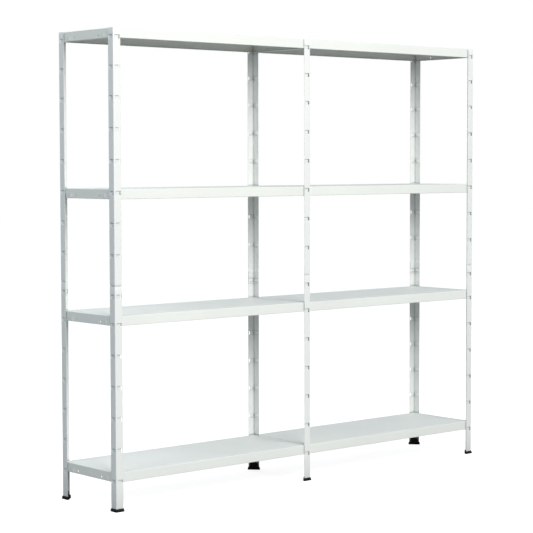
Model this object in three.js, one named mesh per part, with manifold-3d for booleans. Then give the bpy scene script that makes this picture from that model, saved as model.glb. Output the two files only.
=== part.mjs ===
// Two-bay boltless steel shelving unit: L posts in two lengths, folded tray shelves, plastic feet.
// Millimetres, +Z up. The origin is on the floor, midway across the width and the depth.
// The front faces -Y, and the second bay, which shares the middle posts, is on the +X side.
import * as THREE from 'three';
import { mergeVertices } from 'three/addons/utils/BufferGeometryUtils.js';
import Module from 'manifold-3d';

const wasm = await Module();
wasm.setup();

// Driving dimensions
const overallWidth = 2000;      // outer faces of the end posts
const overallDepth = 362;       // outer faces of the front and rear posts
const overallHeight = 1840;     // floor to the top shelf
const shelfTops = [1840, 1232, 750, 150];

const fitGap = 0.3;             // between pieces that touch
const postLeg = 33;             // each leg of the L section
const postSheet = 1.5;
const postJoint = { height: 863, seam: 2.2, spigot: 52, overlap: 9 };
const slot = { start: 6, end: 30, height: 15, slit: 3.5 };   // along the leg, from the corner
const tongue = { depth: 2.6, ramp: 6, sideGap: 0.6, root: 0.5 };
const slotPitch = 120;
const lowerSlots = { first: 116, count: 6, joint: 824.5 };
const upperSlots = { first: 978, count: 6, topPitch: 114, topCount: 2 };

const shelfInset = 4.5;         // from the posts' outer faces to the shelf lips
const shelfSheet = 1;
const shelfLip = 38;
const shelfReturn = 12;         // bottom return, measured inside the lip
const endHole = { fromEdge: 97.5, aboveBottom: 12, radius: 3, sides: 10 };
const endRib = { fromEdge: 62.5, width: 8, crown: 4, proud: 1.6, low: 3, high: 20 };
const hook = { thickness: 1.5, height: 4, lower: -3.2, upper: 1.8, tipInset: 0.6, sharedTip: 1.2 };

const foot = {
  sole: 3, skirt: 12, plug: 28, plugLeg: 27, plugTaper: 1.5,
  flareLow: 3.8, flareHigh: 2, endCut: 8,
};

const clear = 1;                // how far a cutting tool runs past the face that it cuts

const everyPitch = (first, count, pitch) => Array.from({ length: count }, (_, i) => first + i * pitch);

// Middles of the slots in each post length, from the floor. The lower post's joint slot is extra.
const lowerHeights = everyPitch(lowerSlots.first, lowerSlots.count, slotPitch);
const evenHeights = everyPitch(upperSlots.first, upperSlots.count, slotPitch);
const topStart = evenHeights.at(-1) + upperSlots.topPitch;
const topHeights = everyPitch(topStart, upperSlots.topCount, upperSlots.topPitch);
const upperHeights = [...evenHeights, ...topHeights];

// The second bay is one shelf, one gap and one end inset wider than the middle posts' outer face.
const shelfLength = (overallWidth - 3 * shelfInset - fitGap) / 2;
const shelfDepth = overallDepth - 2 * shelfInset;
const leftX = -overallWidth / 2;
const middleX = leftX + shelfLength + 2 * shelfInset;
const rightX = overallWidth / 2;
const frontY = -overallDepth / 2;
const rearY = overallDepth / 2;

const paint = { color: 0xf3f5f3, roughness: 0.45, metalness: 0 };
const shelfPaint = { color: 0xeef2ee, roughness: 0.42, metalness: 0 };
const plastic = { color: 0x101112, roughness: 0.6, metalness: 0 };

// A three.js geometry as a solid for joining and cutting
function solidFrom(geometry) {
  geometry.deleteAttribute('normal');
  geometry.deleteAttribute('uv');
  const merged = mergeVertices(geometry, 1e-5);
  return new wasm.Manifold(new wasm.Mesh({
    numProp: 3,
    vertProperties: new Float32Array(merged.attributes.position.array),
    triVerts: new Uint32Array(merged.index.array),
  }));
}

function meshFrom(name, solid, look) {
  const data = solid.getMesh();
  const geometry = new THREE.BufferGeometry();
  geometry.setAttribute('position', new THREE.BufferAttribute(new Float32Array(data.vertProperties), 3));
  geometry.setIndex(new THREE.BufferAttribute(new Uint32Array(data.triVerts), 1));
  geometry.computeVertexNormals();
  const mesh = new THREE.Mesh(geometry, new THREE.MeshStandardMaterial(look));
  mesh.name = name;
  return mesh;
}

// A plan outline raised from one height to another
function prism(points, low, high) {
  const shape = new THREE.Shape(points.map(([x, y]) => new THREE.Vector2(x, y)));
  const geometry = new THREE.ExtrudeGeometry(shape, { depth: high - low, bevelEnabled: false });
  return solidFrom(geometry.translate(0, 0, low));
}

function block(x, y, z) {
  const geometry = new THREE.BoxGeometry(x[1] - x[0], y[1] - y[0], z[1] - z[0]);
  return solidFrom(geometry.translate((x[0] + x[1]) / 2, (y[0] + y[1]) / 2, (z[0] + z[1]) / 2));
}

// A convex outline that changes evenly from one plan to another, for the tapered plastic parts
function taperedBlock(lowPlan, highPlan, low, high) {
  const count = lowPlan.length;
  const points = [...lowPlan.map(([x, y]) => [x, y, low]), ...highPlan.map(([x, y]) => [x, y, high])];
  const faces = [];
  for (let i = 0; i < count; i++) {
    const next = (i + 1) % count;
    faces.push(i, next, count + next, i, count + next, count + i);
  }
  for (let i = 1; i < count - 1; i++) {
    faces.push(0, i + 1, i);
    faces.push(count, count + i, count + i + 1);
  }
  const geometry = new THREE.BufferGeometry();
  geometry.setAttribute('position', new THREE.Float32BufferAttribute(points.flat(), 3));
  geometry.setIndex(faces);
  return solidFrom(geometry);
}

// L outline with its corner at the origin and its legs along +X and +Y, set in from the outer faces
function angleOutline(inset, end, sheet) {
  const inner = inset + sheet;
  return [[inset, inset], [end, inset], [end, inner], [inner, inner], [inner, end], [inset, end]];
}

// Swaps a plan drawn on the leg along +X over to the leg along +Y
const otherLeg = (points) => points.map(([x, y]) => [y, x]);

// The slit lies at the far end of the +X leg's slots and at the near end of the +Y leg's slots.
function tongueSection(hinge, way) {
  const tip = hinge + way * (slot.end - slot.start - slot.slit);
  const crest = hinge + way * tongue.ramp;
  const inner = tongue.depth + postSheet;
  return [
    [hinge - way * tongue.root, 0], [hinge, 0], [crest, tongue.depth], [tip, tongue.depth],
    [tip, inner], [crest, inner], [hinge, postSheet], [hinge - way * tongue.root, postSheet],
  ];
}

function slotTool(height, past) {
  const x = [slot.start - past, slot.end + past];
  const y = [-clear, tongue.depth + postSheet + clear];
  const z = [height - slot.height / 2 - past, height + slot.height / 2 + past];
  return block(x, y, z).add(block(y, x, z));
}

function tonguePair(height) {
  const reach = slot.height / 2 - tongue.sideGap;
  const along = prism(tongueSection(slot.start, 1), height - reach, height + reach);
  const across = prism(otherLeg(tongueSection(slot.end, -1)), height - reach, height + reach);
  return along.add(across);
}

function withTongues(post, heights) {
  for (const height of heights) {
    post = post.subtract(slotTool(height, 0)).add(tonguePair(height));
  }
  return post;
}

function lowerPost() {
  const angle = prism(angleOutline(0, postLeg, postSheet), foot.sole + fitGap, postJoint.height);
  return withTongues(angle, [...lowerHeights, lowerSlots.joint]);
}

// The spigot is a smaller angle inside the lower post, with a window around that post's top tongue.
function upperPost() {
  const bottom = postJoint.height + postJoint.seam;
  const neck = bottom + postJoint.overlap;
  const inset = postSheet + fitGap;
  const end = postLeg - inset / 2;
  const angle = prism(angleOutline(0, postLeg, postSheet), bottom, overallHeight);
  const joggle = prism(angleOutline(postSheet / 2, end, inset), bottom, neck);
  const spigot = prism(angleOutline(inset, end, postSheet), postJoint.height - postJoint.spigot, neck)
    .subtract(slotTool(lowerSlots.joint, clear));
  return withTongues(angle.add(joggle).add(spigot), upperHeights);
}

// The skirt flares towards the floor; the plug fills the angle of the post behind it.
function footCap() {
  const plan = (flare) => {
    const end = postLeg + flare;
    const cut = foot.endCut - flare;
    return [[-flare, -flare], [end, -flare], [end, cut], [cut, end], [-flare, end]];
  };
  const inner = postSheet + fitGap;
  const plugPlan = (leg) => [[inner, inner], [inner + leg, inner], [inner, inner + leg]];
  const skirt = taperedBlock(plan(foot.flareLow), plan(foot.flareHigh), 0, foot.skirt);
  const socket = prism(
    angleOutline(-fitGap, postLeg + fitGap, postSheet + 2 * fitGap), foot.sole, foot.skirt + clear);
  const plug = taperedBlock(
    plugPlan(foot.plugLeg), plugPlan(foot.plugLeg - foot.plugTaper), foot.sole / 2, foot.plug);
  return skirt.subtract(socket).add(plug);
}

// A hook's two spans in plan: across the lip from its root to its tip, and along the lip at a place
function hookSpans(face, outward, place, reach) {
  const root = face - outward * shelfSheet / 2;
  const tip = face + outward * reach;
  const across = [Math.min(root, tip), Math.max(root, tip)];
  return [across, [place - hook.thickness / 2, place + hook.thickness / 2]];
}

// Where the middle of the slit lies along the shelf, for the near and the far end of a slot
const nearSlit = slot.start + slot.slit / 2 - shelfInset;
const farSlit = slot.end - slot.slit / 2 - shelfInset;

// Corners of a shelf, with the quarter turn of the post that holds each
const corners = [
  { end: 'left', side: 'front', turn: 0 }, { end: 'right', side: 'front', turn: 1 },
  { end: 'right', side: 'rear', turn: 2 }, { end: 'left', side: 'rear', turn: 3 },
];

function cornerHooks(corner, slotHeight, sharesPost) {
  const evenTurn = corner.turn % 2 === 0;
  const [endFace, endWay] = corner.end === 'left' ? [0, -1] : [shelfLength, 1];
  const [sideFace, sideWay] = corner.side === 'front' ? [0, -1] : [shelfDepth, 1];
  const low = slotHeight + (sharesPost ? hook.upper : hook.lower);
  const heights = [low, low + hook.height];
  if (sharesPost) {
    // The middle post is turned to suit the first bay, so its slits are the other way round here.
    const shared = sideFace - sideWay * (evenTurn ? farSlit : nearSlit);
    return [block(...hookSpans(endFace, endWay, shared, fitGap + hook.sharedTip), heights)];
  }
  const reach = shelfInset - hook.tipInset;
  const fromSide = sideFace - sideWay * (evenTurn ? nearSlit : farSlit);
  const fromEnd = endFace - endWay * (evenTurn ? farSlit : nearSlit);
  return [
    block(...hookSpans(endFace, endWay, fromSide, reach), heights),
    block(...hookSpans(sideFace, sideWay, fromEnd, reach).reverse(), heights),
  ];
}

// Local frame of a shelf: x from its left end, y from its front lip, z down from its top face
function tray() {
  const inside = shelfSheet + shelfReturn;
  const outer = block([0, shelfLength], [0, shelfDepth], [-shelfLip, 0]);
  const hollow = block(
    [shelfSheet, shelfLength - shelfSheet], [shelfSheet, shelfDepth - shelfSheet],
    [shelfSheet - shelfLip, -shelfSheet]);
  const mouth = block(
    [inside, shelfLength - inside], [inside, shelfDepth - inside], [-shelfLip - clear, -shelfSheet * 2]);
  return outer.subtract(hollow).subtract(mouth);
}

function endHoleTool(x, y) {
  const length = shelfSheet + 2 * clear;
  const geometry = new THREE.CylinderGeometry(endHole.radius, endHole.radius, length, endHole.sides);
  geometry.rotateZ(Math.PI / 2);
  return solidFrom(geometry.translate(x, y, endHole.aboveBottom - shelfLip));
}

function endRibBlock(face, outward, y) {
  const root = face - outward * shelfSheet / 2;
  const crest = face + outward * endRib.proud;
  const plan = [
    [root, y - endRib.width / 2], [face, y - endRib.width / 2], [crest, y - endRib.crown / 2],
    [crest, y + endRib.crown / 2], [face, y + endRib.width / 2], [root, y + endRib.width / 2],
  ];
  return prism(plan, endRib.low - shelfLip, endRib.high - shelfLip);
}

function shelf(slotHeight, sharesPosts) {
  let body = tray();
  for (const [face, outward] of [[0, -1], [shelfLength, 1]]) {
    for (const y of [endHole.fromEdge, shelfDepth - endHole.fromEdge]) {
      body = body.subtract(endHoleTool(face - outward * shelfSheet / 2, y));
    }
    for (const y of [endRib.fromEdge, shelfDepth - endRib.fromEdge]) {
      body = body.add(endRibBlock(face, outward, y));
    }
  }
  for (const corner of corners) {
    const shared = sharesPosts && corner.end === 'left';
    for (const piece of cornerHooks(corner, slotHeight, shared)) {
      body = body.add(piece);
    }
  }
  return body;
}

// The post slot behind a shelf's lips, measured from the shelf's top face
function slotBelow(top) {
  return [...lowerHeights, ...upperHeights].find((z) => z < top && z > top - shelfLip) - top;
}

const unit = new THREE.Group();

const postPlaces = [
  ['front_left', leftX, frontY, 0],
  ['front_middle', middleX, frontY, 1],
  ['front_right', rightX, frontY, 1],
  ['rear_left', leftX, rearY, 3],
  ['rear_middle', middleX, rearY, 2],
  ['rear_right', rightX, rearY, 2],
];
for (const [place, x, y, quarterTurns] of postPlaces) {
  const stack = new THREE.Group();
  stack.position.set(x, y, 0);
  stack.rotation.z = quarterTurns * Math.PI / 2;
  stack.add(meshFrom(`post_lower_${place}`, lowerPost(), paint));
  stack.add(meshFrom(`post_upper_${place}`, upperPost(), paint));
  stack.add(meshFrom(`foot_cap_${place}`, footCap(), plastic));
  unit.add(stack);
}

const bays = [['left', leftX + shelfInset, false], ['right', middleX + fitGap, true]];
for (const [bay, x, sharesPosts] of bays) {
  shelfTops.forEach((top, level) => {
    const name = `shelf_${bay}_level_${level + 1}`;
    const mesh = meshFrom(name, shelf(slotBelow(top), sharesPosts), shelfPaint);
    mesh.position.set(x, frontY + shelfInset, top);
    unit.add(mesh);
  });
}

export default unit;
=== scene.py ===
# Two-bay boltless steel shelving unit: slotted L posts in two lengths, folded tray shelves and
# plastic feet.
# Metres, +Z up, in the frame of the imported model. The front faces -Y.
import math

import bmesh
import bpy
from mathutils import Matrix, Vector


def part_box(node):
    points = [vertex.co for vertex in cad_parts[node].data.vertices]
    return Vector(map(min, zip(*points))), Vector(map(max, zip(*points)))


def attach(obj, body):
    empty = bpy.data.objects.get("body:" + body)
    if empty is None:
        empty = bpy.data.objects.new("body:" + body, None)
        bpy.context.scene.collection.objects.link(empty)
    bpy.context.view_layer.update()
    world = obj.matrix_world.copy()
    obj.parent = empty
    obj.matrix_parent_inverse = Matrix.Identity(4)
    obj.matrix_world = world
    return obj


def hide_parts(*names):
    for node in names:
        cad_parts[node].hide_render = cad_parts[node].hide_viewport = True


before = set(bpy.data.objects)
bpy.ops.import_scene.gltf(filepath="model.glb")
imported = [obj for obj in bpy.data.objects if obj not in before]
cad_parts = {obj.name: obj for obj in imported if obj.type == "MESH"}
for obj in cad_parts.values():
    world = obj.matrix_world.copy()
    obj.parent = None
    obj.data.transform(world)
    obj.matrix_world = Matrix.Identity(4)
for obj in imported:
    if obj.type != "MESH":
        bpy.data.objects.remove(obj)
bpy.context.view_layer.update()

mm = 0.001
paintLook = {
    # Painted shade: reach of the AO, the AO values taken as open and as deep, and the bluish grey it
    # darkens to
    "paintedShadeReach": 12 * mm,
    "paintedShadeOpen": (0.45, 0.88),
    "paintedShadeColour": (0.22, 0.27, 0.30),
    "peelScale": 620,        # orange peel, about 1.6 mm from crest to crest
    "grainScale": 2600,
    "peelHeight": 0.05 * mm,
    "driftScale": 2.3,       # slow change of tone along a piece
    "driftDarken": 0.955,
    "driftBlue": 0.01,
    "driftRange": (0.35, 0.65),
    "patternTurn": (0.3, 0.5, 0.2),
    "dustScale": 85,
    "dustAmount": 0.10,
    "dustRange": (0.60, 0.74),
    "dustColour": (0.60, 0.59, 0.56),
    "roughness": (0.36, 0.50),
    "wornColour": (0.52, 0.54, 0.55),
    "wearAmount": 0.35,
    "wearScale": 38,
    "wearRange": (0.46, 0.62),
}
plasticLook = {
    "grainScale": 1400,
    "grainHeight": 0.08 * mm,
    "handledScale": 70,
    "roughness": (0.50, 0.68),
    "scuff": 0.03,
    "shine": 0.2,
}


def layOut(nodes, frames, start=-1400, step=210):
    # Nodes go left to right in the order they were made, each inside its frame.
    for index, node in enumerate(nodes):
        node.location = (start + step * (index % 9), 300 - 260 * (index // 9))
    for frameNode, members in frames:
        for node in members:
            node.parent = frameNode


# White powder coat over sheet steel: peel and grain in the bump, slow drift of tone, dust, painted
# shade in recesses and inner corners, thin paint on edges. The third argument is how far the painted
# shade darkens the deepest pressings.
def powderCoat(name, colour, paintedShadeAmount):
    look = paintLook
    material = bpy.data.materials.new(name)
    material.use_nodes = True
    nodes, links = material.node_tree.nodes, material.node_tree.links
    nodes.clear()

    place = nodes.new("ShaderNodeTexCoord")
    place.label = "Place on the unit"
    turn = nodes.new("ShaderNodeMapping")
    turn.label = "Turn the patterns off the axes"
    turn.inputs["Rotation"].default_value = look["patternTurn"]
    links.new(place.outputs["Object"], turn.inputs["Vector"])

    drift = nodes.new("ShaderNodeTexNoise")
    drift.label = "Drift of the coat"
    drift.inputs["Scale"].default_value = look["driftScale"]
    drift.inputs["Detail"].default_value = 3
    links.new(turn.outputs["Vector"], drift.inputs["Vector"])
    driftRange = nodes.new("ShaderNodeMapRange")
    driftRange.label = "Drift, thin to thick"
    driftRange.inputs["From Min"].default_value = look["driftRange"][0]
    driftRange.inputs["From Max"].default_value = look["driftRange"][1]
    links.new(drift.outputs["Fac"], driftRange.inputs["Value"])
    coat = nodes.new("ShaderNodeMix")
    coat.label = "Coat colour"
    coat.data_type = "RGBA"
    shade = look["driftDarken"]
    thin = [part * shade for part in colour]
    coat.inputs["A"].default_value = (thin[0], thin[1], colour[2] * (shade + look["driftBlue"]), 1)
    coat.inputs["B"].default_value = (*colour, 1)
    links.new(driftRange.outputs["Result"], coat.inputs["Factor"])

    dust = nodes.new("ShaderNodeTexNoise")
    dust.label = "Specks of dust"
    dust.inputs["Scale"].default_value = look["dustScale"]
    dust.inputs["Detail"].default_value = 6
    dust.inputs["Roughness"].default_value = 0.7
    links.new(turn.outputs["Vector"], dust.inputs["Vector"])
    dustRange = nodes.new("ShaderNodeMapRange")
    dustRange.label = "Only the densest specks"
    dustRange.inputs["From Min"].default_value = look["dustRange"][0]
    dustRange.inputs["From Max"].default_value = look["dustRange"][1]
    dustRange.inputs["To Max"].default_value = look["dustAmount"]
    links.new(dust.outputs["Fac"], dustRange.inputs["Value"])
    dusty = nodes.new("ShaderNodeMix")
    dusty.label = "Dust on the coat"
    dusty.data_type = "RGBA"
    dusty.inputs["B"].default_value = (*look["dustColour"], 1)
    links.new(dustRange.outputs["Result"], dusty.inputs["Factor"])
    links.new(coat.outputs["Result"], dusty.inputs["A"])

    # Painted shade: where the AO finds little open round a point, in pressings, slots and inner
    # corners, the coat is darkened towards a bluish grey
    hollow = nodes.new("ShaderNodeAmbientOcclusion")
    hollow.label = "Openness round the point"
    hollow.samples = 8
    hollow.inputs["Distance"].default_value = look["paintedShadeReach"]
    paintedShadeMask = nodes.new("ShaderNodeMapRange")
    paintedShadeMask.label = "Painted shade, deep in recesses"
    paintedShadeMask.inputs["From Min"].default_value = look["paintedShadeOpen"][1]
    paintedShadeMask.inputs["From Max"].default_value = look["paintedShadeOpen"][0]
    paintedShadeMask.inputs["To Max"].default_value = paintedShadeAmount
    links.new(hollow.outputs["AO"], paintedShadeMask.inputs["Value"])
    paintedShadeMix = nodes.new("ShaderNodeMix")
    paintedShadeMix.label = "Painted shade in recesses and corners"
    paintedShadeMix.data_type = "RGBA"
    paintedShadeMix.inputs["B"].default_value = (*look["paintedShadeColour"], 1)
    links.new(paintedShadeMask.outputs["Result"], paintedShadeMix.inputs["Factor"])
    links.new(dusty.outputs["Result"], paintedShadeMix.inputs["A"])

    edge = nodes.new("ShaderNodeAttribute")
    edge.label = "Cut edges of the sheet"
    edge.attribute_name = "edgeWear"
    chips = nodes.new("ShaderNodeTexNoise")
    chips.label = "Where the edge is rubbed"
    chips.inputs["Scale"].default_value = look["wearScale"]
    chips.inputs["Detail"].default_value = 5
    links.new(turn.outputs["Vector"], chips.inputs["Vector"])
    chipRange = nodes.new("ShaderNodeMapRange")
    chipRange.label = "Rubbed stretches"
    chipRange.inputs["From Min"].default_value = look["wearRange"][0]
    chipRange.inputs["From Max"].default_value = look["wearRange"][1]
    chipRange.inputs["To Max"].default_value = look["wearAmount"]
    links.new(chips.outputs["Fac"], chipRange.inputs["Value"])
    wear = nodes.new("ShaderNodeMath")
    wear.label = "Wear on edges only"
    wear.operation = "MULTIPLY"
    links.new(edge.outputs["Fac"], wear.inputs[0])
    links.new(chipRange.outputs["Result"], wear.inputs[1])
    worn = nodes.new("ShaderNodeMix")
    worn.label = "Thin coat over steel"
    worn.data_type = "RGBA"
    worn.inputs["B"].default_value = (*look["wornColour"], 1)
    links.new(wear.outputs["Value"], worn.inputs["Factor"])
    links.new(paintedShadeMix.outputs["Result"], worn.inputs["A"])

    peel = nodes.new("ShaderNodeTexNoise")
    peel.label = "Orange peel"
    peel.inputs["Scale"].default_value = look["peelScale"]
    peel.inputs["Detail"].default_value = 1
    links.new(turn.outputs["Vector"], peel.inputs["Vector"])
    grain = nodes.new("ShaderNodeTexNoise")
    grain.label = "Powder grain"
    grain.inputs["Scale"].default_value = look["grainScale"]
    grain.inputs["Detail"].default_value = 2
    links.new(turn.outputs["Vector"], grain.inputs["Vector"])
    texture = nodes.new("ShaderNodeMath")
    texture.label = "Peel with some grain"
    texture.operation = "MULTIPLY_ADD"
    texture.inputs[1].default_value = 0.25
    links.new(grain.outputs["Fac"], texture.inputs[0])
    links.new(peel.outputs["Fac"], texture.inputs[2])
    bump = nodes.new("ShaderNodeBump")
    bump.label = "Surface of the powder"
    bump.inputs["Strength"].default_value = 0.6
    bump.inputs["Distance"].default_value = look["peelHeight"]
    links.new(texture.outputs["Value"], bump.inputs["Height"])

    sheen = nodes.new("ShaderNodeMapRange")
    sheen.label = "Satin, a little uneven"
    sheen.inputs["To Min"].default_value = look["roughness"][0]
    sheen.inputs["To Max"].default_value = look["roughness"][1]
    links.new(dust.outputs["Fac"], sheen.inputs["Value"])

    shader = nodes.new("ShaderNodeBsdfPrincipled")
    shader.label = "Powder coat"
    shader.inputs["IOR"].default_value = 1.5
    links.new(worn.outputs["Result"], shader.inputs["Base Color"])
    links.new(sheen.outputs["Result"], shader.inputs["Roughness"])
    links.new(bump.outputs["Normal"], shader.inputs["Normal"])
    out = nodes.new("ShaderNodeOutputMaterial")
    out.label = "Painted steel"
    links.new(shader.outputs["BSDF"], out.inputs["Surface"])

    ordered = list(nodes)
    colourFrame = nodes.new("NodeFrame")
    colourFrame.label = "Colour, dust and painted shade"
    edgeFrame = nodes.new("NodeFrame")
    edgeFrame.label = "Wear along edges"
    surfaceFrame = nodes.new("NodeFrame")
    surfaceFrame.label = "Peel, grain and gloss"
    layOut(ordered, [
        (colourFrame, (drift, driftRange, coat, dust, dustRange, dusty, hollow, paintedShadeMask, paintedShadeMix)),
        (edgeFrame, (edge, chips, chipRange, wear, worn)),
        (surfaceFrame, (peel, grain, texture, bump, sheen)),
    ])
    return material


# Black moulded plastic with a fine spark texture and grey scuffs on its edges
def mouldedPlastic(name, colour):
    look = plasticLook
    material = bpy.data.materials.new(name)
    material.use_nodes = True
    nodes, links = material.node_tree.nodes, material.node_tree.links
    nodes.clear()
    place = nodes.new("ShaderNodeTexCoord")
    place.label = "Place on the unit"
    grain = nodes.new("ShaderNodeTexNoise")
    grain.label = "Spark texture"
    grain.inputs["Scale"].default_value = look["grainScale"]
    grain.inputs["Detail"].default_value = 3
    links.new(place.outputs["Object"], grain.inputs["Vector"])
    bump = nodes.new("ShaderNodeBump")
    bump.label = "Texture in relief"
    bump.inputs["Strength"].default_value = 0.7
    bump.inputs["Distance"].default_value = look["grainHeight"]
    links.new(grain.outputs["Fac"], bump.inputs["Height"])
    cloud = nodes.new("ShaderNodeTexNoise")
    cloud.label = "Handling marks"
    cloud.inputs["Scale"].default_value = look["handledScale"]
    cloud.inputs["Detail"].default_value = 4
    links.new(place.outputs["Object"], cloud.inputs["Vector"])
    sheen = nodes.new("ShaderNodeMapRange")
    sheen.label = "Matt, a little uneven"
    sheen.inputs["To Min"].default_value = look["roughness"][0]
    sheen.inputs["To Max"].default_value = look["roughness"][1]
    links.new(cloud.outputs["Fac"], sheen.inputs["Value"])
    edge = nodes.new("ShaderNodeAttribute")
    edge.label = "Rounded edges"
    edge.attribute_name = "edgeWear"
    rub = nodes.new("ShaderNodeMath")
    rub.label = "Scuffs on edges"
    rub.operation = "MULTIPLY"
    links.new(edge.outputs["Fac"], rub.inputs[0])
    links.new(cloud.outputs["Fac"], rub.inputs[1])
    tone = nodes.new("ShaderNodeMix")
    tone.label = "Black, greyer where rubbed"
    tone.data_type = "RGBA"
    tone.inputs["A"].default_value = (*colour, 1)
    tone.inputs["B"].default_value = (look["scuff"], look["scuff"], look["scuff"], 1)
    links.new(rub.outputs["Value"], tone.inputs["Factor"])
    shader = nodes.new("ShaderNodeBsdfPrincipled")
    shader.label = "Plastic"
    shader.inputs["Specular IOR Level"].default_value = look["shine"]
    links.new(tone.outputs["Result"], shader.inputs["Base Color"])
    links.new(sheen.outputs["Result"], shader.inputs["Roughness"])
    links.new(bump.outputs["Normal"], shader.inputs["Normal"])
    out = nodes.new("ShaderNodeOutputMaterial")
    out.label = "Foot plastic"
    links.new(shader.outputs["BSDF"], out.inputs["Surface"])
    ordered = list(nodes)
    grainFrame = nodes.new("NodeFrame")
    grainFrame.label = "Grain and gloss"
    rubFrame = nodes.new("NodeFrame")
    rubFrame.label = "Scuffed edges"
    layOut(ordered, [(grainFrame, (grain, bump, cloud, sheen)), (rubFrame, (edge, rub, tone))])
    return material


# The last number is how strongly the painted shade darkens recesses and corners on each coat
postPaint = powderCoat("postPaint", (0.870, 0.878, 0.855), paintedShadeAmount=0.75)
shelfPaint = powderCoat("shelfPaint", (0.875, 0.885, 0.845), paintedShadeAmount=0.2)
footPlastic = mouldedPlastic("footPlastic", (0.008, 0.008, 0.009))
print("materials made")


def smoothStep(value):
    value = min(1.0, max(0.0, value))
    return value * value * (3 - 2 * value)


# Sheet metal as a grid of cells. place(row, column, side) gives a point on the outer (0) or inner (1)
# face. Cells that aren't kept are holes. Sides named in openSides get no edge face, because another
# sheet joins there.
def sheetMesh(mesh, rowCount, columnCount, place, kept, openSides=()):
    corners = {}

    def corner(row, column, side):
        key = (row, column, side)
        if key not in corners:
            corners[key] = mesh.verts.new(place(row, column, side))
        return corners[key]

    def isKept(row, column):
        return 0 <= row < rowCount - 1 and 0 <= column < columnCount - 1 and kept(row, column)

    def isOpen(row, column):
        return ((row < 0 and "low" in openSides)
                or (row >= rowCount - 1 and "high" in openSides)
                or (column < 0 and "left" in openSides)
                or (column >= columnCount - 1 and "right" in openSides))

    for row in range(rowCount - 1):
        for column in range(columnCount - 1):
            if not isKept(row, column):
                continue
            loop = [(row, column), (row, column + 1), (row + 1, column + 1), (row + 1, column)]
            mesh.faces.new([corner(r, c, 0) for r, c in loop])
            mesh.faces.new([corner(r, c, 1) for r, c in reversed(loop)])
            beside = [(row - 1, column), (row, column + 1), (row + 1, column), (row, column - 1)]
            for index, other in enumerate(beside):
                if isKept(*other) or isOpen(*other):
                    continue
                first, second = loop[index], loop[(index + 1) % 4]
                mesh.faces.new([corner(*second, 0), corner(*first, 0),
                                corner(*first, 1), corner(*second, 1)])


def objectFrom(mesh, name):
    data = bpy.data.meshes.new(name)
    mesh.to_mesh(data)
    mesh.free()
    return bpy.data.objects.new(name, data)


def plainMesh(source, name):
    # The evaluated object as a plain mesh, with no modifier left
    bpy.context.view_layer.update()
    graph = bpy.context.evaluated_depsgraph_get()
    data = bpy.data.meshes.new_from_object(source.evaluated_get(graph))
    data.name = name
    return data


# Softens the sheet's cut edges, marks them for the wear in the paint, and shades the rest smooth
def finishPiece(name, data, material, edgeWidth, nodeName, wearAngle=50, smoothAngle=30):
    mesh = bmesh.new()
    mesh.from_mesh(data)
    bmesh.ops.remove_doubles(mesh, verts=mesh.verts, dist=0.004 * mm)
    bmesh.ops.recalc_face_normals(mesh, faces=mesh.faces)
    mesh.to_mesh(data)
    mesh.free()
    data.materials.clear()
    data.materials.append(material)
    data.materials.append(material)
    piece = bpy.data.objects.new(name, data)
    bpy.context.scene.collection.objects.link(piece)
    soften = piece.modifiers.new("softEdges", "BEVEL")
    soften.width = edgeWidth
    soften.segments = 2
    soften.limit_method = "ANGLE"
    soften.angle_limit = math.radians(wearAngle)
    soften.material = 1
    soften.harden_normals = False
    finished = plainMesh(piece, name)
    piece.modifiers.clear()
    piece.data = finished
    bpy.data.meshes.remove(data)
    wear = finished.attributes.new("edgeWear", "FLOAT", "FACE")
    wear.data.foreach_set("value", [float(face.material_index) for face in finished.polygons])
    finished.polygons.foreach_set("material_index", [0] * len(finished.polygons))
    finished.materials.pop(index=1)
    finished.shade_smooth()
    finished.set_sharp_from_angle(angle=math.radians(smoothAngle))
    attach(piece, "root")
    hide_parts(nodeName)
    return piece


# Posts
post = {
    "leg": 33 * mm, "sheet": 1.5 * mm, "bend": 3 * mm, "bendSteps": 6,
    "slotStart": 6 * mm, "slotEnd": 30 * mm, "slotHeight": 15 * mm, "slit": 3.5 * mm,
    "tongueDepth": 3.4 * mm, "tongueRamp": 5 * mm, "sideDraft": 0.7 * mm, "rampSteps": 5,
    "cellHeight": 20 * mm, "edge": 0.28 * mm,
    "spigotInset": 1.8 * mm, "spigotBend": 4 * mm, "spigotLow": 811 * mm, "spigotEnd": 32.1 * mm,
    "joggleLow": 864.6 * mm, "joggleHigh": 870.5 * mm, "joggleSteps": 6, "neckTop": 880 * mm,
    "jointSlot": 824.5 * mm, "windowGrow": 1 * mm,
}
# Middles of the slots: first, count and pitch of the main run, then of the run above it
lowerRun = {"First": 116 * mm, "Count": 6, "Pitch": 120 * mm,
            "Top First": 824.5 * mm, "Top Count": 1, "Top Pitch": 120 * mm}
upperRun = {"First": 978 * mm, "Count": 6, "Pitch": 120 * mm,
            "Top First": 1692 * mm, "Top Count": 2, "Top Pitch": 114 * mm}


# Stations round the section: on the leg along X from its free edge to the bend, round it, and out on
# the other leg
def sectionStations():
    start, end, slit = post["slotStart"], post["slotEnd"], post["slit"]
    rampStep = post["tongueRamp"] / post["rampSteps"]
    ramp = [rampStep * i for i in range(1, post["rampSteps"] + 1)]
    legX = [post["leg"], end, end - slit, (end - slit + start + post["tongueRamp"]) / 2]
    legX += [start + r for r in reversed(ramp)] + [start]
    legY = [start, start + slit, (start + slit + end - post["tongueRamp"]) / 2]
    legY += [end - r for r in reversed(ramp)] + [end, post["leg"]]
    turns = [math.radians(90) * i / post["bendSteps"] for i in range(post["bendSteps"] + 1)]
    return [("x", u) for u in legX] + [("bend", t) for t in turns] + [("y", u) for u in legY]


stations = sectionStations()


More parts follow.
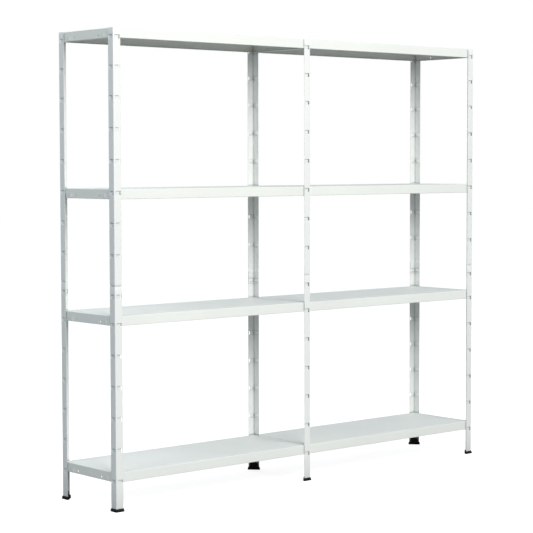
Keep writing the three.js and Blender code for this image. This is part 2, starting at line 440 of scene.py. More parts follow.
def sectionPoint(station, depth, height, bend):
    kind, value = station
    if kind == "x":
        return Vector((value, depth, height))
    if kind == "y":
        return Vector((depth, value, height))
    radius = bend - depth
    return Vector((bend - radius * math.sin(value), bend - radius * math.cos(value), height))


def rampDepth(station):
    # How far the tongue is pressed in, from its hinge to its tip
    kind, value = station
    start, end, slit = post["slotStart"], post["slotEnd"], post["slit"]
    away = value - start if kind == "x" else end - value
    if kind == "bend" or away < 0 or away > end - start - slit + 0.01 * mm:
        return 0.0
    return post["tongueDepth"] * smoothStep(away / post["tongueRamp"])


def inSlot(column):
    first, second = stations[column], stations[column + 1]
    if first[0] != second[0] or first[0] == "bend":
        return False
    middle = (first[1] + second[1]) / 2
    return post["slotStart"] < middle < post["slotEnd"]


def inSlit(column):
    if not inSlot(column):
        return False
    kind = stations[column][0]
    middle = (stations[column][1] + stations[column + 1][1]) / 2
    if kind == "x":
        return middle > post["slotEnd"] - post["slit"]
    return middle < post["slotStart"] + post["slit"]


def slotCell():
    half, reach = post["slotHeight"] / 2, post["slotHeight"] / 2 - post["sideDraft"]
    edge = post["cellHeight"] / 2
    rows = [-edge, -half, -reach, -reach / 2, reach / 2, reach, half, edge]

    def place(row, column, side):
        pressed = rampDepth(stations[column]) if abs(rows[row]) <= reach + 0.01 * mm else 0.0
        depth = pressed + side * post["sheet"]
        return sectionPoint(stations[column], depth, rows[row], post["bend"])

    def kept(row, column):
        return row in (0, 6) or not inSlit(column)

    mesh = bmesh.new()
    sheetMesh(mesh, len(rows), len(stations), place, kept, ("low", "high"))
    return objectFrom(mesh, "slotCell")


def plainLength():
    def place(row, column, side):
        return sectionPoint(stations[column], side * post["sheet"], row, post["bend"])

    mesh = bmesh.new()
    sheetMesh(mesh, 2, len(stations), place, lambda row, column: True, ("low", "high"))
    return objectFrom(mesh, "plainLength")


def sectionCap(height, name):
    mesh = bmesh.new()
    rows = []
    for station in stations:
        rows.append([mesh.verts.new(sectionPoint(station, side * post["sheet"], height, post["bend"]))
                     for side in (0, 1)])
    for first, second in zip(rows, rows[1:]):
        mesh.faces.new((first[0], first[1], second[1], second[0]))
    return objectFrom(mesh, name)


# The bottom of an upper post is set in, so that it slips inside the lower post, with a window round
# its joint tongue.
def spigotPart():
    half = post["slotHeight"] / 2 + post["windowGrow"]
    low, high = post["joggleLow"], post["joggleHigh"]
    count = post["joggleSteps"]
    steps = [low + (high - low) * i / count for i in range(count + 1)]
    window = [post["jointSlot"] - half, post["jointSlot"] + half]
    heights = [post["spigotLow"], *window, *steps, post["neckTop"]]

    def place(row, column, side):
        height = heights[row]
        inset = 1 - smoothStep((height - low) / (high - low))
        kind, value = stations[column]
        if kind != "bend" and value == post["leg"]:
            value -= (post["leg"] - post["spigotEnd"]) * inset
        bend = post["bend"] + (post["spigotBend"] - post["bend"]) * inset
        depth = post["spigotInset"] * inset + side * post["sheet"]
        return sectionPoint((kind, value), depth, height, bend)

    mesh = bmesh.new()
    sheetMesh(mesh, len(heights), len(stations), place,
              lambda row, column: row != 1 or not inSlot(column), ("high",))
    return objectFrom(mesh, "spigotPart")


# Height of slot number Index: a main run at one pitch, then a second run above it at another
def slotHeightGroup():
    tree = bpy.data.node_groups.new("slotHeight", "GeometryNodeTree")
    sockets = (("Index", "NodeSocketInt"), ("First", "NodeSocketFloat"), ("Count", "NodeSocketInt"),
               ("Pitch", "NodeSocketFloat"), ("Top First", "NodeSocketFloat"),
               ("Top Pitch", "NodeSocketFloat"))
    for name, kind in sockets:
        tree.interface.new_socket(name, in_out="INPUT", socket_type=kind)
    tree.interface.new_socket("Height", in_out="OUTPUT", socket_type="NodeSocketFloat")
    nodes, links = tree.nodes, tree.links
    given = nodes.new("NodeGroupInput")
    main = nodes.new("ShaderNodeMath")
    main.operation = "MULTIPLY_ADD"
    main.label = "Height in the main run"
    links.new(given.outputs["Index"], main.inputs[0])
    links.new(given.outputs["Pitch"], main.inputs[1])
    links.new(given.outputs["First"], main.inputs[2])
    past = nodes.new("ShaderNodeMath")
    past.operation = "SUBTRACT"
    past.label = "Slots past the main run"
    links.new(given.outputs["Index"], past.inputs[0])
    links.new(given.outputs["Count"], past.inputs[1])
    upper = nodes.new("ShaderNodeMath")
    upper.operation = "MULTIPLY_ADD"
    upper.label = "Height in the top run"
    links.new(past.outputs["Value"], upper.inputs[0])
    links.new(given.outputs["Top Pitch"], upper.inputs[1])
    links.new(given.outputs["Top First"], upper.inputs[2])
    isMain = nodes.new("ShaderNodeMath")
    isMain.operation = "LESS_THAN"
    isMain.label = "In the main run"
    links.new(given.outputs["Index"], isMain.inputs[0])
    links.new(given.outputs["Count"], isMain.inputs[1])
    pick = nodes.new("GeometryNodeSwitch")
    pick.input_type = "FLOAT"
    pick.label = "Main or top run"
    links.new(isMain.outputs["Value"], pick.inputs["Switch"])
    links.new(upper.outputs["Value"], pick.inputs["False"])
    links.new(main.outputs["Value"], pick.inputs["True"])
    out = nodes.new("NodeGroupOutput")
    links.new(pick.outputs["Output"], out.inputs["Height"])
    layOut(list(nodes), ())
    return tree


# A post: slot cells at their heights, plain lengths between them and an end cap, all welded to the
# foot end given
def slottedPostTree():
    height = slotHeightGroup()
    tree = bpy.data.node_groups.new("slottedPost", "GeometryNodeTree")
    sockets = (("Foot End", "NodeSocketGeometry"), ("Slot Cell", "NodeSocketObject"),
               ("Plain Length", "NodeSocketObject"), ("Top Cap", "NodeSocketObject"),
               ("First", "NodeSocketFloat"), ("Count", "NodeSocketInt"), ("Pitch", "NodeSocketFloat"),
               ("Top First", "NodeSocketFloat"), ("Top Count", "NodeSocketInt"),
               ("Top Pitch", "NodeSocketFloat"), ("Cell Height", "NodeSocketFloat"),
               ("Bottom", "NodeSocketFloat"), ("Top", "NodeSocketFloat"),
               ("Paint", "NodeSocketMaterial"))
    for name, kind in sockets:
        tree.interface.new_socket(name, in_out="INPUT", socket_type=kind)
    tree.interface.new_socket("Post", in_out="OUTPUT", socket_type="NodeSocketGeometry")
    nodes, links = tree.nodes, tree.links
    given = nodes.new("NodeGroupInput")
    index = nodes.new("GeometryNodeInputIndex")
    index.label = "Slot number"
    before = nodes.new("ShaderNodeMath")
    before.operation = "SUBTRACT"
    before.inputs[1].default_value = 1
    before.label = "Slot below"
    links.new(index.outputs["Index"], before.inputs[0])

    here = nodes.new("GeometryNodeGroup")
    here.label = "Height of this slot"
    below = nodes.new("GeometryNodeGroup")
    below.label = "Height of the slot below"
    for group, number in ((here, index.outputs["Index"]), (below, before.outputs["Value"])):
        group.node_tree = height
        links.new(number, group.inputs["Index"])
        for name in ("First", "Count", "Pitch", "Top First", "Top Pitch"):
            links.new(given.outputs[name], group.inputs[name])

    total = nodes.new("ShaderNodeMath")
    total.label = "All slots"
    links.new(given.outputs["Count"], total.inputs[0])
    links.new(given.outputs["Top Count"], total.inputs[1])
    lengths = nodes.new("ShaderNodeMath")
    lengths.label = "One more plain length"
    lengths.inputs[1].default_value = 1
    links.new(total.outputs["Value"], lengths.inputs[0])

    cellLine = nodes.new("GeometryNodeMeshLine")
    cellLine.label = "A point for each slot"
    cellLine.inputs["Offset"].default_value = (0, 0, 0)
    links.new(total.outputs["Value"], cellLine.inputs["Count"])
    cellAt = nodes.new("ShaderNodeCombineXYZ")
    cellAt.label = "Slot height"
    links.new(here.outputs["Height"], cellAt.inputs["Z"])
    cellPlaced = nodes.new("GeometryNodeSetPosition")
    cellPlaced.label = "Points up the post"
    links.new(cellLine.outputs["Mesh"], cellPlaced.inputs["Geometry"])
    links.new(cellAt.outputs["Vector"], cellPlaced.inputs["Position"])
    cellShape = nodes.new("GeometryNodeObjectInfo")
    cellShape.label = "Slot with its tongues"
    links.new(given.outputs["Slot Cell"], cellShape.inputs["Object"])
    cells = nodes.new("GeometryNodeInstanceOnPoints")
    cells.label = "Slots"
    links.new(cellPlaced.outputs["Geometry"], cells.inputs["Points"])
    links.new(cellShape.outputs["Geometry"], cells.inputs["Instance"])

    halfCell = nodes.new("ShaderNodeMath")
    halfCell.operation = "MULTIPLY"
    halfCell.inputs[1].default_value = 0.5
    halfCell.label = "Half a slot cell"
    links.new(given.outputs["Cell Height"], halfCell.inputs[0])
    cellTop = nodes.new("ShaderNodeMath")
    cellTop.label = "Top of the cell below"
    links.new(below.outputs["Height"], cellTop.inputs[0])
    links.new(halfCell.outputs["Value"], cellTop.inputs[1])
    cellBottom = nodes.new("ShaderNodeMath")
    cellBottom.operation = "SUBTRACT"
    cellBottom.label = "Bottom of this cell"
    links.new(here.outputs["Height"], cellBottom.inputs[0])
    links.new(halfCell.outputs["Value"], cellBottom.inputs[1])
    isFirst = nodes.new("ShaderNodeMath")
    isFirst.operation = "LESS_THAN"
    isFirst.inputs[1].default_value = 0.5
    isFirst.label = "Lowest length"
    links.new(index.outputs["Index"], isFirst.inputs[0])
    isLast = nodes.new("ShaderNodeMath")
    isLast.operation = "LESS_THAN"
    isLast.label = "Not the highest length"
    links.new(index.outputs["Index"], isLast.inputs[0])
    links.new(total.outputs["Value"], isLast.inputs[1])
    low = nodes.new("GeometryNodeSwitch")
    low.input_type = "FLOAT"
    low.label = "Low end of a length"
    links.new(isFirst.outputs["Value"], low.inputs["Switch"])
    links.new(cellTop.outputs["Value"], low.inputs["False"])
    links.new(given.outputs["Bottom"], low.inputs["True"])
    high = nodes.new("GeometryNodeSwitch")
    high.input_type = "FLOAT"
    high.label = "High end of a length"
    links.new(isLast.outputs["Value"], high.inputs["Switch"])
    links.new(given.outputs["Top"], high.inputs["False"])
    links.new(cellBottom.outputs["Value"], high.inputs["True"])
    tall = nodes.new("ShaderNodeMath")
    tall.operation = "SUBTRACT"
    tall.label = "Length"
    links.new(high.outputs["Output"], tall.inputs[0])
    links.new(low.outputs["Output"], tall.inputs[1])

    plainLine = nodes.new("GeometryNodeMeshLine")
    plainLine.label = "A point for each plain length"
    plainLine.inputs["Offset"].default_value = (0, 0, 0)
    links.new(lengths.outputs["Value"], plainLine.inputs["Count"])
    plainAt = nodes.new("ShaderNodeCombineXYZ")
    plainAt.label = "Where a length starts"
    links.new(low.outputs["Output"], plainAt.inputs["Z"])
    plainPlaced = nodes.new("GeometryNodeSetPosition")
    plainPlaced.label = "Points between slots"
    links.new(plainLine.outputs["Mesh"], plainPlaced.inputs["Geometry"])
    links.new(plainAt.outputs["Vector"], plainPlaced.inputs["Position"])
    plainShape = nodes.new("GeometryNodeObjectInfo")
    plainShape.label = "Plain angle, one metre"
    links.new(given.outputs["Plain Length"], plainShape.inputs["Object"])
    stretch = nodes.new("ShaderNodeCombineXYZ")
    stretch.label = "Stretch to the length"
    stretch.inputs["X"].default_value = 1
    stretch.inputs["Y"].default_value = 1
    links.new(tall.outputs["Value"], stretch.inputs["Z"])
    plains = nodes.new("GeometryNodeInstanceOnPoints")
    plains.label = "Plain lengths"
    links.new(plainPlaced.outputs["Geometry"], plains.inputs["Points"])
    links.new(plainShape.outputs["Geometry"], plains.inputs["Instance"])
    links.new(stretch.outputs["Vector"], plains.inputs["Scale"])

    capShape = nodes.new("GeometryNodeObjectInfo")
    capShape.label = "Top end of the angle"
    links.new(given.outputs["Top Cap"], capShape.inputs["Object"])
    whole = nodes.new("GeometryNodeJoinGeometry")
    whole.label = "All stretches"
    for part in (given.outputs["Foot End"], cells.outputs["Instances"], plains.outputs["Instances"],
                 capShape.outputs["Geometry"]):
        links.new(part, whole.inputs["Geometry"])
    real = nodes.new("GeometryNodeRealizeInstances")
    real.label = "One mesh"
    links.new(whole.outputs["Geometry"], real.inputs["Geometry"])
    weld = nodes.new("GeometryNodeMergeByDistance")
    weld.label = "Weld the stretches"
    weld.inputs["Distance"].default_value = 0.01 * mm
    links.new(real.outputs["Geometry"], weld.inputs["Geometry"])
    paint = nodes.new("GeometryNodeSetMaterial")
    paint.label = "Powder coat"
    links.new(weld.outputs["Geometry"], paint.inputs["Geometry"])
    links.new(given.outputs["Paint"], paint.inputs["Material"])
    out = nodes.new("NodeGroupOutput")
    links.new(paint.outputs["Geometry"], out.inputs["Post"])
    layOut(list(nodes), ())
    return tree


postTree = slottedPostTree()
cellPart, plainPart = slotCell(), plainLength()


def postMesh(footEnd, run, bottom, top, name):
    cap = sectionCap(top, "topCap")
    bpy.context.scene.collection.objects.link(footEnd)
    build = footEnd.modifiers.new("slottedPost", "NODES")
    build.node_group = postTree
    values = {**run, "Slot Cell": cellPart, "Plain Length": plainPart, "Top Cap": cap,
              "Cell Height": post["cellHeight"], "Bottom": bottom, "Top": top, "Paint": postPaint}
    for socket in postTree.interface.items_tree:
        if socket.item_type == "SOCKET" and socket.in_out == "INPUT" and socket.name in values:
            build[socket.identifier] = values[socket.name]
    data = plainMesh(footEnd, name)
    footEnd.modifiers.clear()
    for helper in (footEnd, cap):
        bpy.data.objects.remove(helper)
    return data


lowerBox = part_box("post_lower_front_left")
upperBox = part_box("post_upper_front_left")
lowerEnd = sectionCap(lowerBox[0].z, "lowerFootEnd")
lowerMesh = postMesh(lowerEnd, lowerRun, lowerBox[0].z, lowerBox[1].z, "postLower")
upperMesh = postMesh(spigotPart(), upperRun, post["neckTop"], upperBox[1].z, "postUpper")
for helper in (cellPart, plainPart):
    bpy.data.objects.remove(helper)

# Each post stands at a corner of its packed box, turned by quarters so that its legs point inwards.
placeTurns = {"front_left": 0, "front_middle": 1, "front_right": 1,
              "rear_right": 2, "rear_middle": 2, "rear_left": 3}


def postCorner(place, turn):
    low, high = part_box(f"post_lower_{place}")
    x = high.x if turn in (1, 2) else low.x
    y = high.y if turn in (2, 3) else low.y
    return Vector((x, y, 0))


def placed(data, place):
    turn = placeTurns[place]
    copy = data.copy()
    turned = Matrix.Rotation(turn * math.pi / 2, 4, "Z")
    copy.transform(Matrix.Translation(postCorner(place, turn)) @ turned)
    return copy


def camelName(*words):
    parts = "_".join(words).split("_")
    return parts[0] + "".join(word.capitalize() for word in parts[1:])


for place in placeTurns:
    for length, data in (("lower", lowerMesh), ("upper", upperMesh)):
        node = f"post_{length}_{place}"
        finishPiece(camelName(node), placed(data, place), postPaint, post["edge"], node)
print("posts made")


# Shelves: one folded sheet each, with open corners, a butted corner seam and mitred bottom returns
tray = {
    "sheet": 1 * mm, "bend": 2 * mm, "bendSteps": 5, "lip": 38 * mm, "return": 13 * mm,
    "seam": 0.3 * mm, "mitre": 0.4 * mm, "cornerBand": 16 * mm, "edge": 0.2 * mm,
    "holeEdge": 97.5 * mm, "holeHeight": 12 * mm, "holeRadius": 3 * mm, "holeFrame": 5 * mm,
    "ribEdge": 62.5 * mm, "ribWidth": 6.5 * mm, "ribProud": 1.5 * mm, "ribLow": 3 * mm,
    "ribHigh": 20 * mm, "ribEnd": 3 * mm, "ribClear": 0.1 * mm,
    "upperRows": (2.8 * mm, 7 * mm, 12 * mm), "lowerRows": (33 * mm, 34.2 * mm), "returnRow": 7 * mm,
    "columnSpacing": 60 * mm, "sag": 0.35 * mm,
}
hook = {
    "thick": 1.5 * mm, "tall": 4 * mm, "lower": -3.2 * mm, "upper": 1.8 * mm, "root": 0.5 * mm,
    "tipInset": 0.6 * mm, "sharedTip": 1.2 * mm, "nose": 1.1 * mm, "inset": 4.5 * mm, "gap": 0.3 * mm,
}


# Profile of a lip from the top face to the edge of its return: distance in from the lip's face,
# and height
def lipProfile():
    bend, sheet, lip = tray["bend"], tray["sheet"], tray["lip"]
    quarter = [math.radians(90) * i / tray["bendSteps"] for i in range(tray["bendSteps"] + 1)]
    rows = []
    for turn in quarter:
        rows.append(("topBend", [(bend - r * math.sin(turn), -bend + r * math.cos(turn))
                                 for r in (bend, bend - sheet)]))
    holeStep, middle = tray["holeFrame"] / 2, tray["holeHeight"] - lip
    heights = [-down for down in tray["upperRows"]] + [tray["ribHigh"] - lip]
    heights += [middle + holeStep * i for i in (2, 1, 0, -1, -2)]
    heights += [-down for down in tray["lowerRows"]] + [tray["ribLow"] - lip]
    for height in heights:
        rows.append(("lip", [(0.0, height), (sheet, height)]))
    for turn in quarter:
        rows.append(("bottomBend", [(bend - r * math.cos(turn), -lip + bend - r * math.sin(turn))
                                    for r in (bend, bend - sheet)]))
    for inward in (tray["returnRow"], tray["return"]):
        rows.append(("return", [(inward, -lip), (inward, -lip + sheet)]))
    return rows


profile = lipProfile()


def endStations(length):
    # Places along a side where a rib or a hole needs its own columns
    marks = []
    for rib in (tray["ribEdge"], length - tray["ribEdge"]):
        half = tray["ribWidth"] / 2
        marks += [rib + half * share for share in (-1, -0.72, -0.45, -0.2, 0, 0.2, 0.45, 0.72, 1)]
    for hole in (tray["holeEdge"], length - tray["holeEdge"]):
        marks += [hole + tray["holeFrame"] / 2 * step for step in (-2, -1, 0, 1, 2)]
    return marks


def sideColumns(length, marks):
    inner = [tray["cornerBand"], *sorted(marks), length - tray["cornerBand"]]
    columns = [tray["bend"]]
    for first, second in zip(inner, inner[1:]):
        count = max(1, round((second - first) / tray["columnSpacing"]))
        columns += [first + (second - first) * i / count for i in range(count)]
    return columns + [inner[-1], length - tray["bend"]]


def ribRise(along, height, length):
    rise = 0.0
    for rib in (tray["ribEdge"], length - tray["ribEdge"]):
        across = abs(along - rib) / (tray["ribWidth"] / 2)
        if across < 1:
            low, high = tray["ribLow"] - tray["lip"], tray["ribHigh"] - tray["lip"]
            ends = min(smoothStep((height - low) / tray["ribEnd"]),
                       smoothStep((high - height) / tray["ribEnd"]))
            rise = max(rise, tray["ribProud"] * smoothStep(1 - across) * ends)
    return rise


# One side of the tray: its top bend, lip, bottom bend and return, with ribs and holes on the end lips
def addSide(mesh, columns, length, start, along, inward, isEnd):
    lipStart = tray["sheet"] + tray["seam"] if isEnd else tray["seam"]
    holeMiddle = tray["holeHeight"] - tray["lip"]
    holeRows = [i for i, (kind, points) in enumerate(profile)
                if kind == "lip" and abs(points[0][1] - holeMiddle) < tray["holeFrame"] + mm / 10]
    holes = [tray["holeEdge"], length - tray["holeEdge"]] if isEnd else []

    def place(row, column, side):
        kind, points = profile[row]
        inset, height = points[side]
        margin = tray["bend"]
        if kind == "lip":
            margin = lipStart
        elif kind != "topBend":
            margin = max(lipStart, points[0][0] + tray["mitre"])
        position = columns[column]
        if column == 0:
            position = margin
        elif column == len(columns) - 1:
            position = length - margin
        if isEnd and kind == "lip":
            inset -= ribRise(position, height, length)
        return start + along * position + inward * inset + Vector((0, 0, height))

    def nearHole(row, column):
        middle = (columns[column] + columns[column + 1]) / 2
        return (row in holeRows and row + 1 in holeRows
                and any(abs(middle - hole) < tray["holeFrame"] for hole in holes))

    sheetMesh(mesh, len(profile), len(columns), place,
              lambda row, column: not nearHole(row, column), ("low",))
    for hole in holes:
        first = min(range(len(columns)), key=lambda i: abs(columns[i] - hole + tray["holeFrame"]))
        roundHole(mesh, place, holeRows[0], first, start + along * hole, along, inward)


# Fills the square left round a hole with a ring down to the round rim, and drops the square's own
# edge faces
def roundHole(mesh, place, firstRow, firstColumn, centre, along, inward):
    steps = 4
    border = [(firstRow, firstColumn + i) for i in range(steps)]
    border += [(firstRow + i, firstColumn + steps) for i in range(steps)]
    border += [(firstRow + steps, firstColumn + steps - i) for i in range(steps)]
    border += [(firstRow + steps - i, firstColumn) for i in range(steps)]
    centre = centre + Vector((0, 0, tray["holeHeight"] - tray["lip"]))
    rings = []
    for side in (0, 1):
        outer, rim = [], []
        for row, column in border:
            point = place(row, column, side)
            away = point - centre
            away -= inward * away.dot(inward)
            outer.append(mesh.verts.new(point))
            rim.append(mesh.verts.new(centre + inward * tray["sheet"] * side
                                      + away.normalized() * tray["holeRadius"]))
        rings.append((outer, rim))
    squareFaces = []
    nearby, thickness = 8 * mm, 2 * mm
    for face in mesh.faces:
        middle = face.calc_center_median() - centre
        flat = middle - inward * middle.dot(inward)
        onSquare = abs(max(abs(flat.dot(along)), abs(flat.z)) - tray["holeFrame"]) < 0.01 * mm
        if onSquare and flat.length < nearby and abs(middle.dot(inward)) < thickness:
            squareFaces.append(face)
    bmesh.ops.delete(mesh, geom=squareFaces, context="FACES")
    count = len(border)
    for i in range(count):
        j = (i + 1) % count
        mesh.faces.new((rings[0][0][i], rings[0][0][j], rings[0][1][j], rings[0][1][i]))
        mesh.faces.new((rings[1][0][j], rings[1][0][i], rings[1][1][i], rings[1][1][j]))
        mesh.faces.new((rings[0][1][i], rings[0][1][j], rings[1][1][j], rings[1][1][i]))


# A hook bent out of a lip: a tab with a dropped, chamfered nose that enters the slit in the post
def addHook(mesh, root, outward, along, reach, low):
    tall, nose = hook["tall"], min(hook["nose"], reach / 2)
    outline = [(-hook["root"], low), (reach - nose, low), (reach, low + nose),
               (reach, low + tall), (-hook["root"], low + tall)]
    sides = []
    for half in (-hook["thick"] / 2, hook["thick"] / 2):
        sides.append([mesh.verts.new(root + outward * out + along * half + Vector((0, 0, height)))
                      for out, height in outline])
    mesh.faces.new(sides[0])
    mesh.faces.new(list(reversed(sides[1])))
    for i in range(len(outline)):
        j = (i + 1) % len(outline)
        mesh.faces.new((sides[0][j], sides[0][i], sides[1][i], sides[1][j]))


def addHooks(mesh, low, high, top, slotHeight, sharesPost):
    nearSlit = post["slotStart"] + post["slit"] / 2 - hook["inset"]
    farSlit = post["slotEnd"] - post["slit"] / 2 - hook["inset"]
    corners = (("left", "front", 0), ("right", "front", 1), ("right", "rear", 2), ("left", "rear", 3))
    for end, side, turn in corners:
        endX, endWay = (low.x, -1) if end == "left" else (high.x, 1)
        sideY, sideWay = (low.y, -1) if side == "front" else (high.y, 1)
        even = turn % 2 == 0
        outEnd, outSide = Vector((endWay, 0, 0)), Vector((0, sideWay, 0))
        if sharesPost and end == "left":
            spot = Vector((endX, sideY - sideWay * (farSlit if even else nearSlit), top))
            sharedReach = hook["gap"] + hook["sharedTip"]
            addHook(mesh, spot, outEnd, outSide, sharedReach, slotHeight + hook["upper"])
            continue
        reach = hook["inset"] - hook["tipInset"]
        spot = Vector((endX, sideY - sideWay * (nearSlit if even else farSlit), top))
        addHook(mesh, spot, outEnd, outSide, reach, slotHeight + hook["lower"])
        spot = Vector((endX - endWay * (farSlit if even else nearSlit), sideY, top))
        addHook(mesh, spot, outSide, outEnd, reach, slotHeight + hook["lower"])


def slotUnder(top):
    heights = []
    for run in (lowerRun, upperRun):
        heights += [run["First"] + run["Pitch"] * i for i in range(run["Count"])]
        heights += [run["Top First"] + run["Top Pitch"] * i for i in range(run["Top Count"])]
    return next(z for z in heights if top - tray["lip"] < z < top) - top


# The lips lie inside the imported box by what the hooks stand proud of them.
def shelfLips(node, sharesPost):
    low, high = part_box(node)
    reach = hook["inset"] - hook["tipInset"]
    leftReach = reach
    if sharesPost:
        leftReach = max(hook["gap"] + hook["sharedTip"], tray["ribProud"] + tray["ribClear"])
    return (Vector((low.x + leftReach, low.y + reach, 0)),
            Vector((high.x - reach, high.y - reach, 0)), high.z)


def shelfPiece(node, sharesPost):
    low, high, top = shelfLips(node, sharesPost)
    length, depth = high.x - low.x, high.y - low.y
    xColumns = sideColumns(length, [])
    yColumns = sideColumns(depth, endStations(depth))
    mesh = bmesh.new()

    # The top face dips slightly between its stiff edges.
    def topPlace(row, column, side):
        x, y = xColumns[column], yColumns[row]
        bow = math.sin(math.pi * x / length) * math.sin(math.pi * y / depth)
        edgeRow = row in (0, len(yColumns) - 1) or column in (0, len(xColumns) - 1)
        dip = 0 if edgeRow else tray["sag"] * bow
        return Vector((low.x + x, low.y + y, top - dip - side * tray["sheet"]))

    sheetMesh(mesh, len(yColumns), len(xColumns), topPlace, lambda row, column: True,
              ("low", "high", "left", "right"))
    corner = {name: Vector((x, y, top)) for name, x, y in (
        ("frontLeft", low.x, low.y), ("frontRight", high.x, low.y), ("rearLeft", low.x, high.y))}
    right, back = Vector((1, 0, 0)), Vector((0, 1, 0))
    addSide(mesh, xColumns, length, corner["frontLeft"], right, back, False)
    addSide(mesh, xColumns, length, corner["rearLeft"], right, -back, False)
    addSide(mesh, yColumns, depth, corner["frontLeft"], back, right, True)
    addSide(mesh, yColumns, depth, corner["frontRight"], back, -right, True)
    addHooks(mesh, low, high, top, slotUnder(top), sharesPost)
    data = bpy.data.meshes.new(node)
    mesh.to_mesh(data)
    mesh.free()
    return finishPiece(camelName(node), data, shelfPaint, tray["edge"], node)


for bay in ("left", "right"):
    for level in range(1, 5):
        shelfPiece(f"shelf_{bay}_level_{level}", bay == "right")
print("shelves made")


# Feet: a flared skirt with a groove for the post's end, and a tapered plug inside the angle
foot = {
    "skirt": 12 * mm, "flareLow": 3.8 * mm, "flareHigh": 2 * mm, "endCut": 8 * mm, "round": 2.5 * mm,
    "roundSteps": 4, "roundEdge": 1 * mm, "sole": 3 * mm, "plug": 28 * mm, "plugLeg": 27 * mm,
    "plugTaper": 1.5 * mm, "plugRound": 1.6 * mm, "plugRoundSteps": 3, "plugCrown": 1.2 * mm,
    "grooveOver": 1 * mm, "gap": 0.3 * mm, "edge": 0.5 * mm, "creaseAngle": 40,
}


def roundedOutline(points, radius, steps):
    outline = []
    count = len(points)
    for i in range(count):
        corner = Vector(points[i])
        before = (Vector(points[i - 1]) - corner).normalized()
        after = (Vector(points[(i + 1) % count]) - corner).normalized()
        start, end = corner + before * radius, corner + after * radius
        for step in range(steps + 1):
            t = step / steps
            outline.append(start * (1 - t) ** 2 + corner * 2 * t * (1 - t) + end * t ** 2)
    return outline


def loftedSolid(rings):
    mesh = bmesh.new()
    layers = [[mesh.verts.new((p.x, p.y, height)) for p in outline] for outline, height in rings]
    for lower, upper in zip(layers, layers[1:]):
        for i in range(len(lower)):
            j = (i + 1) % len(lower)
            mesh.faces.new((lower[i], lower[j], upper[j], upper[i]))
    mesh.faces.new(list(reversed(layers[0])))
    mesh.faces.new(layers[-1])
    return mesh


def skirtOutline(flare, inset=0.0):
    reach, cut = post["leg"] + flare - inset, foot["endCut"] - flare
    near = -flare + inset
    points = [(near, near), (reach, near), (reach, cut), (cut, reach), (near, reach)]
    return roundedOutline(points, foot["round"], foot["roundSteps"])


def footMesh():
    edge = foot["roundEdge"]
    rings = [(skirtOutline(foot["flareLow"], edge * 0.7), 0.0)]
    rings.append((skirtOutline(foot["flareLow"], edge * 0.2), edge * 0.3))
    rings.append((skirtOutline(foot["flareLow"]), edge))
    rings.append((skirtOutline(foot["flareHigh"]), foot["skirt"] - edge))
    rings.append((skirtOutline(foot["flareHigh"], edge * 0.2), foot["skirt"] - edge * 0.3))
    rings.append((skirtOutline(foot["flareHigh"], edge * 0.7), foot["skirt"]))
    skirt = objectFrom(loftedSolid(rings), "skirt")

    gap, sheet, leg = foot["gap"], post["sheet"], post["leg"]
    low, inner, far = -gap, sheet + gap, leg + gap
    plan = ((low, low), (far, low), (far, inner), (inner, inner), (inner, far), (low, far))
    groovePlan = [Vector(point) for point in plan]
    grooveTop = foot["skirt"] + foot["grooveOver"]
    groove = objectFrom(loftedSolid([(groovePlan, foot["sole"]), (groovePlan, grooveTop)]), "groove")

    def plugOutline(length):
        points = [(inner, inner), (inner + length, inner), (inner, inner + length)]
        return roundedOutline(points, foot["plugRound"], foot["plugRoundSteps"])

    plugTop, plugEnd = foot["plug"], foot["plugLeg"] - foot["plugTaper"]
    plug = objectFrom(loftedSolid([
        (plugOutline(foot["plugLeg"]), foot["skirt"] / 2),
        (plugOutline(plugEnd), plugTop - foot["plugCrown"]),
        (plugOutline(plugEnd - foot["plugRound"]), plugTop)]), "plug")
    for tool, operation in ((groove, "DIFFERENCE"), (plug, "UNION")):
        cut = skirt.modifiers.new(tool.name, "BOOLEAN")
        cut.operation = operation
        cut.solver = "EXACT"
        cut.object = tool
    for helper in (skirt, groove, plug):
        bpy.context.scene.collection.objects.link(helper)
    data = plainMesh(skirt, "footCap")
    for helper in (skirt, groove, plug):
        bpy.data.objects.remove(helper)
    return data


footShape = footMesh()
for place in placeTurns:
    node = f"foot_cap_{place}"
    finishPiece(camelName(node), placed(footShape, place), footPlastic, foot["edge"],
                node, foot["creaseAngle"], foot["creaseAngle"])
print("feet made")


# Studio: a wide pale floor, a white surround and soft lights
studio = {
    "floorSize": 60.0, "floorPale": 0.60, "floorGlow": 0.82, "floorBounce": 0.34, "aim": (0, 0, 0.9),
    "surround": (0.74, 0.86, 0.94), "surroundStrength": 0.40, "sheenStrength": 0.66,
    "keyPower": 438, "keyPlace": (-1.0, -6.0, 4.4), "keySize": 4.6, "keyColour": (1.0, 0.985, 0.95),
    "backPower": 60, "backPlace": (0.5, 5.0, 3.6), "backSize": 4.0, "backColour": (1.0, 1.0, 1.0),
    "sidePower": 62, "sidePlace": (-4.6, -0.2, 4.4), "sideSize": 2.5, "sideColour": (0.92, 0.97, 1.0),
}
camera = {
    "place": (-4.7816, -5.4057, 1.3333), "right": 0.7157, "down": 0.061237, "roll": 0.0019288,
    "focal": 115.0, "sensor": 36.0,
}


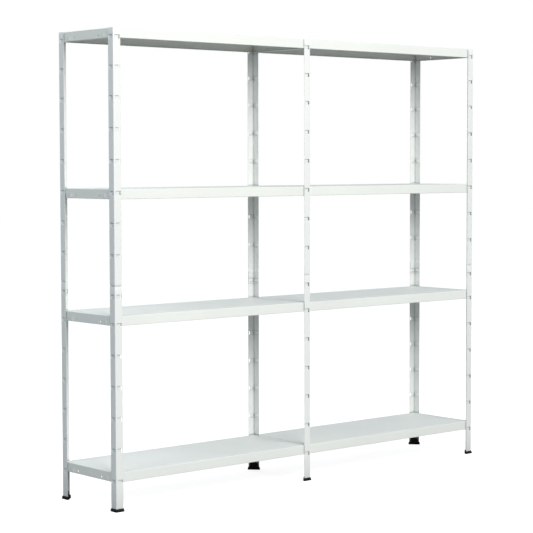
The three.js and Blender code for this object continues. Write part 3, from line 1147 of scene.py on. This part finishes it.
def floorMaterial():
    material = bpy.data.materials.new("paleFloor")
    material.use_nodes = True
    nodes, links = material.node_tree.nodes, material.node_tree.links
    nodes.clear()
    path = nodes.new("ShaderNodeLightPath")
    path.label = "Seen directly or not"
    tone = nodes.new("ShaderNodeMix")
    tone.label = "Pale floor, weaker bounce"
    tone.data_type = "RGBA"
    bounce, pale = studio["floorBounce"], studio["floorPale"]
    tone.inputs["A"].default_value = (bounce, bounce, bounce, 1)
    tone.inputs["B"].default_value = (pale, pale, pale, 1)
    links.new(path.outputs["Is Camera Ray"], tone.inputs["Factor"])
    matt = nodes.new("ShaderNodeBsdfDiffuse")
    matt.label = "Matt floor"
    links.new(tone.outputs["Result"], matt.inputs["Color"])
    glow = nodes.new("ShaderNodeEmission")
    glow.label = "Lifts the floor to the backdrop's white"
    dim = nodes.new("ShaderNodeMath")
    dim.label = "No glow on the unit"
    dim.operation = "MULTIPLY"
    dim.inputs[1].default_value = studio["floorGlow"]
    links.new(path.outputs["Is Camera Ray"], dim.inputs[0])
    links.new(dim.outputs["Value"], glow.inputs["Strength"])
    surface = nodes.new("ShaderNodeAddShader")
    surface.label = "Floor"
    links.new(matt.outputs["BSDF"], surface.inputs[0])
    links.new(glow.outputs["Emission"], surface.inputs[1])
    clear = nodes.new("ShaderNodeBsdfTransparent")
    clear.label = "Nothing from below"
    facing = nodes.new("ShaderNodeNewGeometry")
    facing.label = "Side of the floor"
    pick = nodes.new("ShaderNodeMixShader")
    pick.label = "Only the top shows"
    links.new(facing.outputs["Backfacing"], pick.inputs["Fac"])
    links.new(surface.outputs["Shader"], pick.inputs[1])
    links.new(clear.outputs["BSDF"], pick.inputs[2])
    out = nodes.new("ShaderNodeOutputMaterial")
    links.new(pick.outputs["Shader"], out.inputs["Surface"])
    layOut(list(nodes), ())
    return material


def makeFloor():
    half = studio["floorSize"] / 2
    data = bpy.data.meshes.new("floor")
    corners = [(-half, -half, 0), (half, -half, 0), (half, half, 0), (-half, half, 0)]
    data.from_pydata(corners, [], [(0, 1, 2, 3)])
    data.materials.append(floorMaterial())
    floor = bpy.data.objects.new("floor", data)
    bpy.context.scene.collection.objects.link(floor)


def makeSurround():
    world = bpy.data.worlds.new("surround")
    bpy.context.scene.world = world
    world.use_nodes = True
    nodes, links = world.node_tree.nodes, world.node_tree.links
    nodes.clear()
    path = nodes.new("ShaderNodeLightPath")
    path.label = "Seen directly or not"
    light = nodes.new("ShaderNodeBackground")
    light.label = "Soft cool fill"
    light.inputs["Color"].default_value = (*studio["surround"], 1)
    sheen = nodes.new("ShaderNodeMapRange")
    sheen.label = "Brighter in reflections"
    sheen.inputs["To Min"].default_value = studio["surroundStrength"]
    sheen.inputs["To Max"].default_value = studio["sheenStrength"]
    links.new(path.outputs["Is Glossy Ray"], sheen.inputs["Value"])
    links.new(sheen.outputs["Result"], light.inputs["Strength"])
    white = nodes.new("ShaderNodeBackground")
    white.label = "White backdrop"
    white.inputs["Color"].default_value = (1, 1, 1, 1)
    pick = nodes.new("ShaderNodeMixShader")
    pick.label = "Backdrop or fill"
    links.new(path.outputs["Is Camera Ray"], pick.inputs["Fac"])
    links.new(light.outputs["Background"], pick.inputs[1])
    links.new(white.outputs["Background"], pick.inputs[2])
    out = nodes.new("ShaderNodeOutputWorld")
    links.new(pick.outputs["Shader"], out.inputs["Surface"])
    layOut(list(nodes), ())


def softLight(name):
    data = bpy.data.lights.new(name, "AREA")
    data.shape = "SQUARE"
    data.size = studio[name + "Size"]
    data.energy = studio[name + "Power"]
    data.color = studio[name + "Colour"]
    light = bpy.data.objects.new(name + "Light", data)
    light.location = studio[name + "Place"]
    aim = Vector(studio["aim"])
    light.rotation_euler = (aim - light.location).to_track_quat("-Z", "Y").to_euler()
    bpy.context.scene.collection.objects.link(light)


def makeCamera():
    data = bpy.data.cameras.new("camera")
    data.lens = camera["focal"]
    data.sensor_width = camera["sensor"]
    data.clip_start = 0.05
    view = bpy.data.objects.new("camera", data)
    view.location = camera["place"]
    view.rotation_euler = (math.radians(90) - camera["down"], camera["roll"], -camera["right"])
    bpy.context.scene.collection.objects.link(view)
    bpy.context.scene.camera = view


makeFloor()
makeSurround()
for name in ("key", "back", "side"):
    softLight(name)
makeCamera()
bpy.context.scene.view_settings.view_transform = "Standard"
print("studio made")
